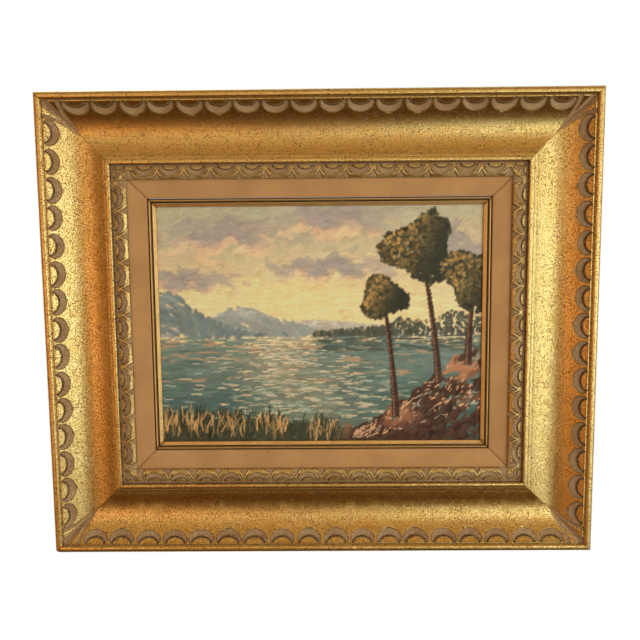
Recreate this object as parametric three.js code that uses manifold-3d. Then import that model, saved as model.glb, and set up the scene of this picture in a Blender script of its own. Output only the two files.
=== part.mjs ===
// A framed oil painting: canvas on a wooden stretcher, a gilt slip, a cloth-covered liner
// and a wide, carved and gilded cove moulding, hung from a sawtooth hanger.
// Millimetres, +Z up. The picture faces -Y, and its back, the wall side, faces +Y.
// The origin is the point it hangs by: on the back plane, in the middle of the hanger's teeth.

import * as THREE from "three";
import { mergeVertices } from "three/addons/utils/BufferGeometryUtils.js";
import Module from "manifold-3d";

const wasm = await Module();
wasm.setup();

// ---------------------------------------------------------------- driving dimensions

const FRAME_WIDTH = 664;
const FRAME_HEIGHT = 560;
const HANG_DROP = 40;             // from the frame's top edge down to the hanging point
const GAP = 0.3;                  // between pieces that touch

// The moulding's section. "In" is the distance inward from the frame's outer edge,
// "up" the height over the back plane, towards the viewer.
const BACK_IN = 10;               // the outer side leans in towards the back
const SIDE_IN = 1.6;              // where the leaning side meets the lip's underside
const SIDE_UP = 40;
const LIP_IN = 5.2;               // the lip's crest
const LIP_UP = 52;                // the highest point of the frame
const LIP_DROP = 7;               // height of the lip's rounded outer half
const GROOVE_IN = 8.3;
const GROOVE_UP = 48.3;
const RIDGE_IN = 9.6;             // thin edge between the groove and the carved slope
const RIDGE_UP = 49.7;
const COVE_START_IN = 26.5;
const COVE_LOW_IN = 51;
const COVE_LOW_UP = 30.4;
const COVE_CURVE = 74;            // the cove is a parabola: rise = run squared / COVE_CURVE
const COVE_END_IN = 72;
const BEAD_IN = 75;               // small bead between two quirks
const BEAD_UP = 36.9;
const BEAD_HALF = 2.1;
const QUIRK_DEPTH = 0.9;
const FILLET_IN = 80.2;           // the raised fillet round the inner carving
const FILLET_UP = 38.2;
const FILLET_HALF = 2.6;
const STRIP_IN = 87;              // flat strip between the fillet and the ovolo
const STRIP_UP = 35.2;
const OVOLO_CENTRE_IN = 89;
const OVOLO_UP = 31.8;            // height at which the ovolo turns into the inner edge
const OVOLO_RISE = 4.4;
const MOULDING_IN = 102.2;        // the moulding's inner edge
const LEDGE_UP = 30.7;            // underside of the moulding's inner lip
const REBATE_IN = 96.2;

const LINER_BACK_UP = 10.4;
const LINER_EDGE_IN = 124.3;
const LINER_EDGE_UP = 26.9;
const SLIP_BACK_UP = 8.5;
const SLIP_BEAD_UP = 26.6;
const SLIP_GROOVE_DEPTH = 2.8;    // the groove between the slip's bead and its slope
const SLIP_SLOPE_UP = 24.9;
const SIGHT_IN = 134.4;           // the slip's inner edge, where the painting starts
const SLIP_LEG = 4;               // thickness of the slip's leg beside the canvas

const CANVAS_UP = 20.6;           // the painted face
const CANVAS_THICK = 0.8;
const CANVAS_BACK_UP = 2.9;
const CANVAS_FOLD = 13;           // width of the cloth turned over the back
const STRETCHER_WIDTH = 38;
const STRETCHER_BEVEL = 2;

// The carving. Each crescent lies between two half ellipses, given as [half the width along
// the rail, reach inward], and each gouge of the corner leaf runs along a curve of three points,
// given as [distance along the rail from the frame's corner, distance in].
const CRESCENTS_LONG = 18;
const CRESCENTS_SHORT = 15;
const CRESCENT_PITCH = 33.3;
const CRESCENT = { outer: [15.3, 16], inner: [11.8, 6.6], depth: 4, facets: 5 };
const SCALLOPS_LONG = 14;
const SCALLOPS_SHORT = 11;
const SCALLOP_PITCH_LONG = 32.1;
const SCALLOP_PITCH_SHORT = 31.5;
const SCALLOP = { outer: [12.2, 10.2], inner: [8, 3.6], depth: 2.3, facets: 4 };
const HALF_SCALLOP = { outer: [8, 7], inner: [4, 2], depth: 1.6, facets: 3 };
const HALF_SCALLOP_ALONG = 94.5;  // from the frame's corner
const SCALLOP_START_IN = 87.2;
const DART_TIP = { inward: 94, half: 0.4, depth: 0.3 };
const DART_MOUTH = { inward: 101.6, half: 5.2, depth: 1.5 };
const LEAF_VEIN = { curve: [[16, 16], [32, 32], [50, 50]], half: 3.6, depth: 2.6 };
const LEAF_SIDE = { curve: [[26.5, 9], [30, 26], [47, 44]], half: 2.4, depth: 2.2 };
const LEAF_TIP_HALF = 0.6;        // half width of a leaf gouge at its tip
const SWEEP = 86 * Math.PI / 180; // a crescent stops this far round from its middle
const CUTTER_LIFT = 0.8;          // how far a cutter stands over the face it cuts

// The hanger.
const HANGER_LENGTH = 46;
const HANGER_HEIGHT = 9;
const HANGER_THICK = 0.8;
const HANGER_FOOT = 9;            // flat end that is nailed to the rail
const HANGER_STEP = 3;            // run of the bend between foot and raised middle
const HANGER_RAISE = 1.5;
const TOOTH_PITCH = 2.6;
const TOOTH_DEPTH = 1.6;
const TEETH = 7;                  // notches between the teeth
const NOTCH_HALF = 2.34;          // half a notch's width, one tooth depth below the edge
const CUT_THROUGH = 8;            // length of the hanger's cutters, right through its strip
const NAIL_RADIUS = 0.8;
const NAIL_HEAD = 1.9;
const NAIL_LENGTH = 14;
const NAIL_SIDES = 8;

const TOP = HANG_DROP;
const CENTRE = HANG_DROP - FRAME_HEIGHT / 2;

// ---------------------------------------------------------------- materials

const finish = (name, color, roughness, metalness) =>
  Object.assign(new THREE.MeshStandardMaterial({ color, roughness, metalness }), { name });

const gilding = finish("aged gilding", 0xc08a3c, 0.42, 0.75);
const linerCloth = finish("liner cloth", 0xae8250, 0.9, 0);
const slipGilding = finish("slip gilding", 0xb8904e, 0.4, 0.7);
const paintedCanvas = finish("painted canvas", 0x9a9a86, 0.5, 0);
const bareWood = finish("stretcher wood", 0xc9a878, 0.75, 0);
const platedSteel = finish("plated steel", 0xb9a26a, 0.4, 0.9);

// ---------------------------------------------------------------- solids

/** A manifold solid from a closed three.js geometry. */
function toSolid(geometry) {
  const bare = geometry.index ? geometry : geometry.clone();
  bare.deleteAttribute("normal");
  bare.deleteAttribute("uv");
  const merged = mergeVertices(bare, 1e-4);
  return new wasm.Manifold(new wasm.Mesh({
    numProp: 3,
    vertProperties: new Float32Array(merged.attributes.position.array),
    triVerts: new Uint32Array(merged.index.array),
  }));
}

/** A three.js geometry from a manifold solid. */
function toGeometry(solid) {
  const mesh = solid.getMesh();
  const geometry = new THREE.BufferGeometry();
  geometry.setAttribute("position", new THREE.BufferAttribute(new Float32Array(mesh.vertProperties), 3));
  geometry.setIndex(new THREE.BufferAttribute(new Uint32Array(mesh.triVerts), 1));
  return geometry;
}

/** A closed skin over equal rings of points, capped at both ends by the triangles in cap. */
function skinOverRings(rings, cap) {
  const count = rings[0].length;
  const triangles = [];
  for (let r = 0; r + 1 < rings.length; r++) {
    for (let i = 0; i < count; i++) {
      const j = (i + 1) % count;
      const a = r * count + i, b = r * count + j;
      triangles.push(a, b, b + count, a, b + count, a + count);
    }
  }
  const last = (rings.length - 1) * count;
  for (const [a, b, c] of cap) {
    triangles.push(a, c, b, last + a, last + b, last + c);
  }
  const geometry = new THREE.BufferGeometry();
  geometry.setAttribute("position", new THREE.Float32BufferAttribute(rings.flat(2), 3));
  geometry.setIndex(triangles);
  return geometry;
}

/**
 * One mitred rail, lying along X with its outer edge on the X axis: a point of the section
 * at (distance in, height up) sits at Z = -in and Y = -up, and the rail is cut at 45 degrees
 * at both ends. The section runs anticlockwise with "in" to the right and "up" upwards.
 */
function mitredRail(section, length) {
  const reach = ([inward]) => length / 2 - inward - GAP / 2;
  const ring = (end) => section.map((p) => [end * reach(p), -p[1], -p[0]]);
  const outline = section.map(([inward, up]) => new THREE.Vector2(inward, up));
  return skinOverRings([ring(1), ring(-1)], THREE.ShapeUtils.triangulateShape(outline, []));
}

/** Places a rail's mesh on one side of the frame. */
function placeOnSide(mesh, side) {
  const turn = { top: 0, right: Math.PI / 2, bottom: Math.PI, left: -Math.PI / 2 }[side];
  mesh.rotation.y = turn;
  mesh.position.set(
    side === "left" ? -FRAME_WIDTH / 2 : side === "right" ? FRAME_WIDTH / 2 : 0,
    0,
    side === "top" ? TOP : side === "bottom" ? TOP - FRAME_HEIGHT : CENTRE,
  );
  return mesh;
}

const SIDES = ["top", "bottom", "left", "right"];
const isLong = (side) => side === "top" || side === "bottom";
const sideLength = (side) => (isLong(side) ? FRAME_WIDTH : FRAME_HEIGHT);

// ---------------------------------------------------------------- the carved moulding

const steps = (count) => Array.from({ length: count + 1 }, (_, k) => k / count);
const coveUp = (inward) => COVE_LOW_UP + (inward - COVE_LOW_IN) ** 2 / COVE_CURVE;

/** The moulding's visible outline, from the lip's outer edge to the inner edge. */
function mouldingFront() {
  const lip = steps(3).map((s) => {
    const angle = s * Math.PI / 2;
    return [LIP_IN * (1 - Math.cos(angle)), LIP_UP - LIP_DROP * (1 - Math.sin(angle))];
  });
  const cove = steps(6).map((s) => {
    const inward = COVE_START_IN + (COVE_END_IN - COVE_START_IN) * s;
    return [inward, coveUp(inward)];
  });
  const bead = [
    [BEAD_IN - BEAD_HALF, BEAD_UP - QUIRK_DEPTH - 0.5],
    [BEAD_IN, BEAD_UP],
    [BEAD_IN + BEAD_HALF, BEAD_UP - QUIRK_DEPTH],
  ];
  const fillet = [
    [FILLET_IN - FILLET_HALF, FILLET_UP - 1.1],
    [FILLET_IN, FILLET_UP],
    [FILLET_IN + FILLET_HALF, FILLET_UP - 0.8],
    [FILLET_IN + FILLET_HALF + 0.6, STRIP_UP],
  ];
  const width = MOULDING_IN - OVOLO_CENTRE_IN;
  const startAngle = Math.acos((STRIP_IN - OVOLO_CENTRE_IN) / width);
  const ovolo = steps(4).map((s) => {
    const angle = startAngle * (1 - s);
    return [OVOLO_CENTRE_IN + width * Math.cos(angle), OVOLO_UP + OVOLO_RISE * Math.sin(angle)];
  });
  return [
    ...lip,
    [GROOVE_IN, GROOVE_UP],
    [RIDGE_IN, RIDGE_UP],
    ...cove,
    ...bead,
    ...fillet,
    [STRIP_IN - 0.2, STRIP_UP],
    ...ovolo,
  ];
}

const front = mouldingFront();

/** The whole section, anticlockwise from the back's outer corner. */
const mouldingSection = [
  [BACK_IN, 0],
  [REBATE_IN, 0],
  [REBATE_IN, LEDGE_UP],
  [MOULDING_IN, LEDGE_UP],
  ...front.toReversed(),
  [SIDE_IN, SIDE_UP],
];

/** Height of the uncarved face at a distance in from the outer edge. */
function faceUp(inward) {
  const k = Math.max(1, front.findIndex(([x]) => x >= inward));
  const [x0, y0] = front[k - 1], [x1, y1] = front[k];
  return y0 + (y1 - y0) * (inward - x0) / (x1 - x0);
}

/**
 * The cutter of one gouge cut, V-shaped across. Each station gives the two edges of the cut
 * on the face, as [along, in], the share of the way from the first to the second edge at
 * which the cut is deepest, and that depth.
 */
function gougeCutter(stations) {
  const rings = stations.map(({ near, far, deepest, depth }) => {
    const keel = [0, 1].map((k) => near[k] + (far[k] - near[k]) * deepest);
    const grow = 1 + CUTTER_LIFT / (depth + CUTTER_LIFT);
    const wall = (edge) => [0, 1].map((k) => keel[k] + (edge[k] - keel[k]) * grow);
    const keelUp = faceUp(keel[1]) - depth;
    const wallUp = (edge) => keelUp + (faceUp(edge[1]) - keelUp) * grow;
    const point = ([along, inward], up) => [along, -up, -inward];
    return [point(wall(near), wallUp(near)), point(wall(far), wallUp(far)), point(keel, keelUp)];
  });
  const solid = toSolid(skinOverRings(rings, [[0, 1, 2]]));
  const insideOut = solid.volume() < 0;
  return insideOut ? toSolid(skinOverRings(rings.toReversed(), [[0, 1, 2]])) : solid;
}

/** A crescent between two half ellipses that share a middle, cut deepest near the inner one. */
function crescentCutter(middle, start, { outer, inner, depth, facets }) {
  return gougeCutter(steps(facets).map((s) => {
    const angle = SWEEP * (2 * s - 1);
    const onEllipse = ([half, reach]) =>
      [middle + half * Math.sin(angle), start + reach * Math.cos(angle)];
    return {
      near: onEllipse(inner),
      far: onEllipse(outer),
      deepest: 0.3,
      depth: depth * (0.6 + 0.4 * Math.cos(angle)),
    };
  }));
}

/** Evenly spaced middles of count units, about the rail's own middle. */
const rowOf = (count, pitch) => Array.from({ length: count }, (_, k) => (k - (count - 1) / 2) * pitch);

/** The large crescents on the slope under the outer ridge. */
const crescentCutters = (side) =>
  rowOf(isLong(side) ? CRESCENTS_LONG : CRESCENTS_SHORT, CRESCENT_PITCH)
    .map((middle) => crescentCutter(middle, RIDGE_IN, CRESCENT));

const scallopRow = (side, extra) => rowOf(
  (isLong(side) ? SCALLOPS_LONG : SCALLOPS_SHORT) + extra,
  isLong(side) ? SCALLOP_PITCH_LONG : SCALLOP_PITCH_SHORT,
);

/** The small scallops on the ovolo, with a half scallop at each mitre. */
function scallopCutters(side) {
  const corner = sideLength(side) / 2 - HALF_SCALLOP_ALONG;
  return [
    ...scallopRow(side, 0).map((middle) => crescentCutter(middle, SCALLOP_START_IN, SCALLOP)),
    ...[-corner, corner].map((middle) => crescentCutter(middle, SCALLOP_START_IN, HALF_SCALLOP)),
  ];
}

/** The darts beside the scallops: triangular notches open to the inner edge. */
function dartCutters(side) {
  return scallopRow(side, 1).map((middle) => gougeCutter([DART_TIP, DART_MOUTH].map(
    ({ inward, half, depth }) =>
      ({ near: [middle - half, inward], far: [middle + half, inward], deepest: 0.5, depth }))));
}

/** One gouge of the corner leaf, at one end of a rail, narrowing and rising towards its tip. */
function leafGouge(side, end, { curve, half, depth }) {
  const path = new THREE.QuadraticBezierCurve(...curve.map((p) => new THREE.Vector2(...p)));
  return gougeCutter(steps(3).map((s) => {
    const point = path.getPoint(s);
    const tangent = path.getTangent(s);
    const width = half + (LEAF_TIP_HALF - half) * s;
    const edge = (sign) => [
      end * (sideLength(side) / 2 - point.x + sign * width * tangent.y),
      point.y + sign * width * tangent.x,
    ];
    return { near: edge(-1), far: edge(1), deepest: 0.5, depth: depth * (1 - 0.8 * s) };
  }));
}

// The hanger's nails, through the middle of its feet.
const nailAlong = [-1, 1].map((end) => end * (HANGER_LENGTH - HANGER_FOOT) / 2);
const nailIn = HANG_DROP - HANGER_HEIGHT / 2 + TOOTH_DEPTH;

/** Holes for the two nails, in the top rail's back. */
function nailHoleCutters() {
  return nailAlong.map((along) => {
    const hole = new THREE.CylinderGeometry(NAIL_RADIUS + GAP, NAIL_RADIUS + GAP,
      2 * NAIL_LENGTH + 2, NAIL_SIDES);
    return toSolid(hole.translate(along, 0, -nailIn));
  });
}

function mouldingRail(side) {
  const cutters = [
    ...crescentCutters(side),
    ...scallopCutters(side),
    ...dartCutters(side),
    ...[-1, 1].flatMap((end) => [leafGouge(side, end, LEAF_VEIN), leafGouge(side, end, LEAF_SIDE)]),
    ...(side === "top" ? nailHoleCutters() : []),
  ];
  const rail = cutters.reduce(
    (solid, cutter) => solid.subtract(cutter),
    toSolid(mitredRail(mouldingSection, sideLength(side))),
  );
  return toGeometry(rail);
}

// ---------------------------------------------------------------- liner, slip and canvas

const linerSection = [
  [REBATE_IN + GAP, LINER_BACK_UP],
  [LINER_EDGE_IN, LINER_BACK_UP],
  [LINER_EDGE_IN, LINER_EDGE_UP - 1.3],
  [LINER_EDGE_IN - 0.3, LINER_EDGE_UP - 0.5],
  [LINER_EDGE_IN - 1.1, LINER_EDGE_UP],
  [MOULDING_IN, LEDGE_UP - GAP],
  [REBATE_IN + GAP, LEDGE_UP - GAP],
];

const slipOuter = LINER_EDGE_IN + GAP;
const slipLegIn = slipOuter + SLIP_LEG;
const slipRebateUp = CANVAS_UP + GAP;

const slipSection = [
  [slipOuter, SLIP_BACK_UP],
  [slipLegIn, SLIP_BACK_UP],
  [slipLegIn, slipRebateUp],
  [SIGHT_IN, slipRebateUp],
  [SIGHT_IN, slipRebateUp + 1.9],
  [SIGHT_IN - 0.7, slipRebateUp + 2.7],
  [slipOuter + 4.4, SLIP_SLOPE_UP],
  [slipOuter + 4, SLIP_BEAD_UP - SLIP_GROOVE_DEPTH],
  [slipOuter + 2.6, SLIP_BEAD_UP - SLIP_GROOVE_DEPTH],
  [slipOuter + 2.1, SLIP_BEAD_UP - 0.7],
  [slipOuter + 1.4, SLIP_BEAD_UP],
  [slipOuter + 0.6, SLIP_BEAD_UP],
  [slipOuter, SLIP_BEAD_UP - 0.8],
];

const canvasIn = slipLegIn + GAP;
const canvasWidth = FRAME_WIDTH - 2 * canvasIn;
const canvasHeight = FRAME_HEIGHT - 2 * canvasIn;

/** A box centred on the picture, from one height over the back plane to another. */
function pictureBox(width, height, fromUp, toUp) {
  const box = new THREE.BoxGeometry(width, toUp - fromUp, height);
  return toSolid(box.translate(0, -(fromUp + toUp) / 2, CENTRE));
}

/** The canvas: a face, four sides and the border turned over the stretcher's back. */
function canvasTray() {
  const inside = 2 * CANVAS_THICK;
  const cloth = pictureBox(canvasWidth, canvasHeight, CANVAS_BACK_UP, CANVAS_UP)
    .subtract(pictureBox(canvasWidth - inside, canvasHeight - inside,
      CANVAS_BACK_UP + CANVAS_THICK, CANVAS_UP - CANVAS_THICK))
    .subtract(pictureBox(canvasWidth - 2 * CANVAS_FOLD, canvasHeight - 2 * CANVAS_FOLD,
      CANVAS_BACK_UP - 1, CANVAS_BACK_UP + CANVAS_THICK + 1));
  return toGeometry(cloth);
}

const barIn = canvasIn + CANVAS_THICK + GAP;
const barBackUp = CANVAS_BACK_UP + CANVAS_THICK + GAP;
const barFrontUp = CANVAS_UP - CANVAS_THICK - GAP;

/** A stretcher bar, bevelled away from the canvas towards its inner edge. */
const stretcherSection = [
  [barIn, barBackUp],
  [barIn + STRETCHER_WIDTH, barBackUp],
  [barIn + STRETCHER_WIDTH, barFrontUp - STRETCHER_BEVEL],
  [barIn + 6, barFrontUp],
  [barIn, barFrontUp],
];

// ---------------------------------------------------------------- hanger

/** A bent strip, its feet flat on the rail and its toothed middle raised off it. */
function sawtoothHanger() {
  const half = HANGER_LENGTH / 2;
  const bend = half - HANGER_FOOT;
  const path = [[-half, 0], [-bend, 0], [-bend + HANGER_STEP, HANGER_RAISE],
    [bend - HANGER_STEP, HANGER_RAISE], [bend, 0], [half, 0]];
  const under = path.map(([x, y]) => new THREE.Vector2(x, y + GAP));
  const over = path.map(([x, y]) => new THREE.Vector2(x, y + GAP + HANGER_THICK)).reverse();
  const strip = new THREE.ExtrudeGeometry(new THREE.Shape([...under, ...over]),
    { depth: HANGER_HEIGHT, bevelEnabled: false });
  strip.translate(0, 0, -TOOTH_DEPTH);
  const cutters = rowOf(TEETH, TOOTH_PITCH).map((x) => {
    const notch = new THREE.Shape([
      new THREE.Vector2(x - NOTCH_HALF, -2 * TOOTH_DEPTH),
      new THREE.Vector2(x + NOTCH_HALF, -2 * TOOTH_DEPTH),
      new THREE.Vector2(x, 0),
    ]);
    const prism = new THREE.ExtrudeGeometry(notch, { depth: CUT_THROUGH, bevelEnabled: false });
    return toSolid(prism.rotateX(Math.PI / 2).translate(0, CUT_THROUGH / 2, 0));
  });
  const holes = nailAlong.map((x) => toSolid(new THREE.CylinderGeometry(
    NAIL_RADIUS + GAP, NAIL_RADIUS + GAP, CUT_THROUGH, NAIL_SIDES).translate(x, 0, HANG_DROP - nailIn)));
  return toGeometry([...cutters, ...holes].reduce((solid, cut) => solid.subtract(cut), toSolid(strip)));
}

/** A round nail with a domed head, its point in the wood at -Y. */
function hangerNail() {
  const seat = 2 * GAP + HANGER_THICK;
  const outline = [[0, -NAIL_LENGTH], [NAIL_RADIUS, -NAIL_LENGTH + 2], [NAIL_RADIUS, seat],
    [NAIL_HEAD, seat], [NAIL_HEAD * 0.8, seat + 0.5], [0, seat + 0.8]];
  return new THREE.LatheGeometry(outline.map(([r, y]) => new THREE.Vector2(r, y)), NAIL_SIDES);
}

// ---------------------------------------------------------------- the part

const picture = new THREE.Group();

function add(name, geometry, material) {
  const mesh = new THREE.Mesh(geometry, material);
  mesh.name = name;
  picture.add(mesh);
  return mesh;
}

for (const side of SIDES) {
  const length = sideLength(side);
  placeOnSide(add(`frame_rail_${side}`, mouldingRail(side), gilding), side);
  placeOnSide(add(`liner_${side}`, mitredRail(linerSection, length), linerCloth), side);
  placeOnSide(add(`slip_${side}`, mitredRail(slipSection, length), slipGilding), side);
  placeOnSide(add(`stretcher_bar_${side}`, mitredRail(stretcherSection, length), bareWood), side);
}

add("canvas", canvasTray(), paintedCanvas);
add("sawtooth_hanger", sawtoothHanger(), platedSteel);
["left", "right"].forEach((name, k) => {
  add(`hanger_nail_${name}`, hangerNail(), platedSteel).position.set(nailAlong[k], 0, HANG_DROP - nailIn);
});

export default picture;
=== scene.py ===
"""A framed oil painting, finished: carved and gilded mouldings, cloth liner, gilt slip, painted canvas.

Every rail is a section carried along its side of the frame. A place on a rail is given by three
lengths in millimetres: along the rail from its middle, clockwise as seen from the front; inward
from the frame's outer edge; and up from the frame's back plane, towards the viewer.
"""

import bpy
import numpy as np
from mathutils import Matrix, Vector


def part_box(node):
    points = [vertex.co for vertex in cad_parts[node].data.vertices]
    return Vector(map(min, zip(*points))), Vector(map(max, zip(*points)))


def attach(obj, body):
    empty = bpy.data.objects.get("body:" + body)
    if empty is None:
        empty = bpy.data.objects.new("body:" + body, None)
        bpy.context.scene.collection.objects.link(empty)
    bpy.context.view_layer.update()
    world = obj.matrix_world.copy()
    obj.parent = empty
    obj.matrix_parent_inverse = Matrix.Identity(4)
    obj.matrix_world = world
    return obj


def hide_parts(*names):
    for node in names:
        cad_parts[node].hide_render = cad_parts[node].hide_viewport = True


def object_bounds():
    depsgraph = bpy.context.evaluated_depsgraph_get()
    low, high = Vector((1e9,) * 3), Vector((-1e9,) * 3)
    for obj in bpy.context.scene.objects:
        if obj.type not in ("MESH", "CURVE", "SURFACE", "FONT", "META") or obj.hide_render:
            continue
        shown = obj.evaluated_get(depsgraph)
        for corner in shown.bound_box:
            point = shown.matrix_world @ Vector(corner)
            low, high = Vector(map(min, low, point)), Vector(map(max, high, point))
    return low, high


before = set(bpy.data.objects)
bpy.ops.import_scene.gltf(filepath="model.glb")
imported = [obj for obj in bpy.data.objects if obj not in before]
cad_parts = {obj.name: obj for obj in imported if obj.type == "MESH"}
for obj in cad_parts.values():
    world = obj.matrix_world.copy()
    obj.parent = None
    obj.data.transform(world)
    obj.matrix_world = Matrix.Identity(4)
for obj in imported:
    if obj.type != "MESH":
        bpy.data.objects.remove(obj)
cad_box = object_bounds()

# ------------------------------------------------------------------ sizes, in millimetres

MM = 0.001
(LEFT, _, BOTTOM), (RIGHT, _, TOP) = ([value / MM for value in corner] for corner in cad_box)
WIDTH = RIGHT - LEFT
HEIGHT = TOP - BOTTOM
CENTRE = (TOP + BOTTOM) / 2
SIDES = ("top", "right", "bottom", "left")
GAP = 0.3  # between pieces that touch


def reach_of(node):
    """How far a node of the top side goes: least and most inward, least and most up."""
    low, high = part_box(node)
    return TOP - high.z / MM, TOP - low.z / MM, -high.y / MM, -low.y / MM


LIP_IN = 4.6
LIP_UP = reach_of("frame_rail_top")[3]
LIP_DROP = 7.0
LIP_CHIPS_UP = 43  # chips lie on the lip above this
GROOVE_IN = 9.9
RIDGE_IN = 11.5
RIDGE_UP = 49.4
COVE_START_IN = 26.5
COVE_LOW_IN = 51.0
COVE_LOW_UP = 30.4
COVE_CURVE = 74.0
COVE_END_IN = 72.0
FILLET_QUIRK_IN = 77.8
STRIP_IN = 84.4
STRIP_UP = 34.6
BAND_IN = 86.0  # where the carved band starts to rise from the strip
BAND_CREST_IN = 92.4
BAND_CREST_UP = 36.5
EDGE_IN = reach_of("frame_rail_top")[1]
EDGE_UP = 31.8
LEDGE_UP = 30.7
REBATE_IN = 96.2
BACK_IN = 10.0
# Dark lines where wax lies in the quirks, with painted shade there and where the band meets the liner.
WAX_AND_SHADE_LINES = (  # inward, half width, strength
    (GROOVE_IN, 0.42, 1.0),
    (73.2, 0.9, 0.3),  # the foot of the cove
    (FILLET_QUIRK_IN, 0.4, 0.6),
    (84.5, 0.6, 1.0),  # the foot of the fillet
    (EDGE_IN, 0.5, 0.9),
)

CRESCENT_COUNT = {"top": 18, "bottom": 18, "left": 15, "right": 15}
CRESCENT_PITCH = 33.3
SCALLOP_COUNT = {"top": 14, "bottom": 14, "left": 11, "right": 11}
SCALLOP_PITCH = {"top": 32.1, "bottom": 32.1, "left": 31.5, "right": 31.5}
HALF_SCALLOP_ALONG = 94.5  # from the frame's corner
LEAF_REACH = 62  # along the rail, from the frame's corner
CORNER_ROUND = {
    ("left", "bottom"): 5.0, ("right", "bottom"): 2.4, ("left", "top"): 1.4, ("right", "top"): 1.4,
}

# ------------------------------------------------------------------ small numpy tools


def blend_step(low, high, value):
    """0 below low, 1 above high, and the cubic 3t^2 - 2t^3 between them."""
    t = np.clip((value - low) / (high - low), 0, 1)
    return t * t * (3 - 2 * t)


def drift(u, v, seed):
    """A smooth random field from -1 to 1: random values on a unit lattice, blended cubically."""
    size = 64
    table = np.random.default_rng(seed).uniform(-1, 1, (size, size))
    column, row = np.floor(u).astype(int), np.floor(v).astype(int)
    across, upward = blend_step(0, 1, u - column), blend_step(0, 1, v - row)
    lower, upper = (
        table[column % size, line % size] * (1 - across) + table[(column + 1) % size, line % size] * across
        for line in (row, row + 1))
    return lower * (1 - upward) + upper * upward


def bell(value, middle, width):
    """1 at the middle, falling as exp(-t^2), where t is the distance from it in widths."""
    return np.exp(-((value - middle) / width) ** 2)


def linear(*srgb):
    """Screen colour, 0 to 1, as light: the inverse of the screen's curve."""
    value = np.asarray(srgb, float)
    return np.where(value < 0.04045, value / 12.92, ((value + 0.055) / 1.055) ** 2.4)


# ------------------------------------------------------------------ mesh makers


def set_numbers(mesh, **numbers):
    """Stores each named array as one number at each vertex."""
    for name, values in numbers.items():
        layer = mesh.attributes.new(name, "FLOAT", "POINT")
        layer.data.foreach_set("value", np.ascontiguousarray(values, np.float32).ravel())


def set_uv(mesh, places):
    """Gives the mesh its one UV map, a place for each corner of each face."""
    mesh.uv_layers.new(name="OFBake").data.foreach_set("uv", places.ravel())


def placed(name, data):
    """A new object in the scene, made of a mesh, a lamp or a camera."""
    thing = bpy.data.objects.new(name, data)
    bpy.context.scene.collection.objects.link(thing)
    return thing


def finish_piece(mesh, material, replaced):
    """Puts a mesh in the scene as a piece of the object, in place of the nodes it stands for."""
    mesh.materials.append(material)
    piece = placed(mesh.name, mesh)
    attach(piece, "root")
    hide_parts(*replaced)


def side_length(side):
    return WIDTH if side in ("top", "bottom") else HEIGHT


def place_on_side(side, along, inward, up):
    """Points of one side of the frame, in millimetres in the object's frame."""
    if side == "top":
        x, z = along, TOP - inward
    elif side == "right":
        x, z = RIGHT - inward, CENTRE - along
    elif side == "bottom":
        x, z = -along, BOTTOM + inward
    else:
        x, z = LEFT + inward, CENTRE + along
    return np.stack(np.broadcast_arrays(x, -up, z), axis=-1)


def round_corners(points):
    """Turns the square at each corner of the frame into a quarter disc: in a square of side r, a
    point's offset from the square's inner corner is shortened by its larger part over its length."""
    for (side, end), radius in CORNER_ROUND.items():
        from_side = points[..., 0] - LEFT if side == "left" else RIGHT - points[..., 0]
        from_end = points[..., 2] - BOTTOM if end == "bottom" else TOP - points[..., 2]
        across, upward = radius - from_side, radius - from_end
        inside = (across > 0) & (upward > 0)
        length = np.maximum(np.hypot(across, upward), 1e-6)
        share = np.where(inside, 1 - np.maximum(across, upward) / length, 0)
        points[..., 0] += np.where(inside, share * across, 0) * (1 if side == "left" else -1)
        points[..., 2] += np.where(inside, share * upward, 0) * (1 if end == "bottom" else -1)
    return points


def rail_along(side, inward, columns):
    """Places along a mitred rail: every row is spread evenly between the two mitres."""
    half = side_length(side) / 2 - inward - GAP / 2
    return half[:, None] * np.linspace(-1, 1, columns)[None, :]


def grid_cells(rows, columns):
    """The corners of each cell of a grid, in turn round the cell: their rows and their columns."""
    row, column = (number.reshape(-1, 1) for number in np.indices((rows, columns)))
    return row + [0, 0, 1, 1], column + [0, 1, 1, 0]


def made_mesh(name, points, quads, smooth, flat_faces):
    """A mesh through points in millimetres: quads, each smooth or not, and then the flat faces."""
    mesh = bpy.data.meshes.new(name)
    mesh.from_pydata(points.reshape(-1, 3) * MM, [], quads.tolist() + flat_faces)
    mesh.polygons.foreach_set("use_smooth", np.append(smooth, np.zeros(len(flat_faces), bool)))
    return mesh


def rail_mesh(name, points, flat_rows, back_rows):
    """A closed rail from a grid of points: rows go round the section, columns along the rail, and
    both mitres are capped. Its UV map lays the two halves of the rail one above the other, with the
    rows of the back squeezed to a third of their width."""
    rows, columns = points.shape[:2]
    corner_row, corner_column = (number[:, [0, 3, 2, 1]] for number in grid_cells(rows, columns - 1))
    quads = (corner_row % rows) * columns + corner_column
    caps = np.stack([np.arange(rows)[::-1] * columns, np.arange(rows) * columns + columns - 1])
    smooth = ~np.isin(corner_row[:, 0], flat_rows)
    mesh = made_mesh(name, points, quads, smooth, caps.tolist())

    middle = points[:, columns // 2]
    step = np.linalg.norm(np.roll(middle, -1, axis=0) - middle, axis=-1)
    step = np.where(np.isin(np.arange(rows), back_rows), step / 3, step)
    round_section = np.append(0, np.cumsum(step))
    half = columns // 2
    upper = (corner_column[:, :1] >= half).astype(int)
    share_along = (corner_column - upper * half) / (columns - half)
    share_round = (round_section[corner_row] / round_section[-1] + upper) / 2
    uv = np.stack([0.02 + 0.96 * share_along, 0.01 + 0.97 * share_round + 0.01 * upper], axis=-1)
    cap_uv = np.zeros((2 * rows, 2)) + 0.004
    cap_uv[:, 0] += np.tile(np.linspace(0, 0.004, rows), 2)
    set_uv(mesh, np.concatenate([uv.reshape(-1, 2), cap_uv]))
    return mesh


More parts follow.
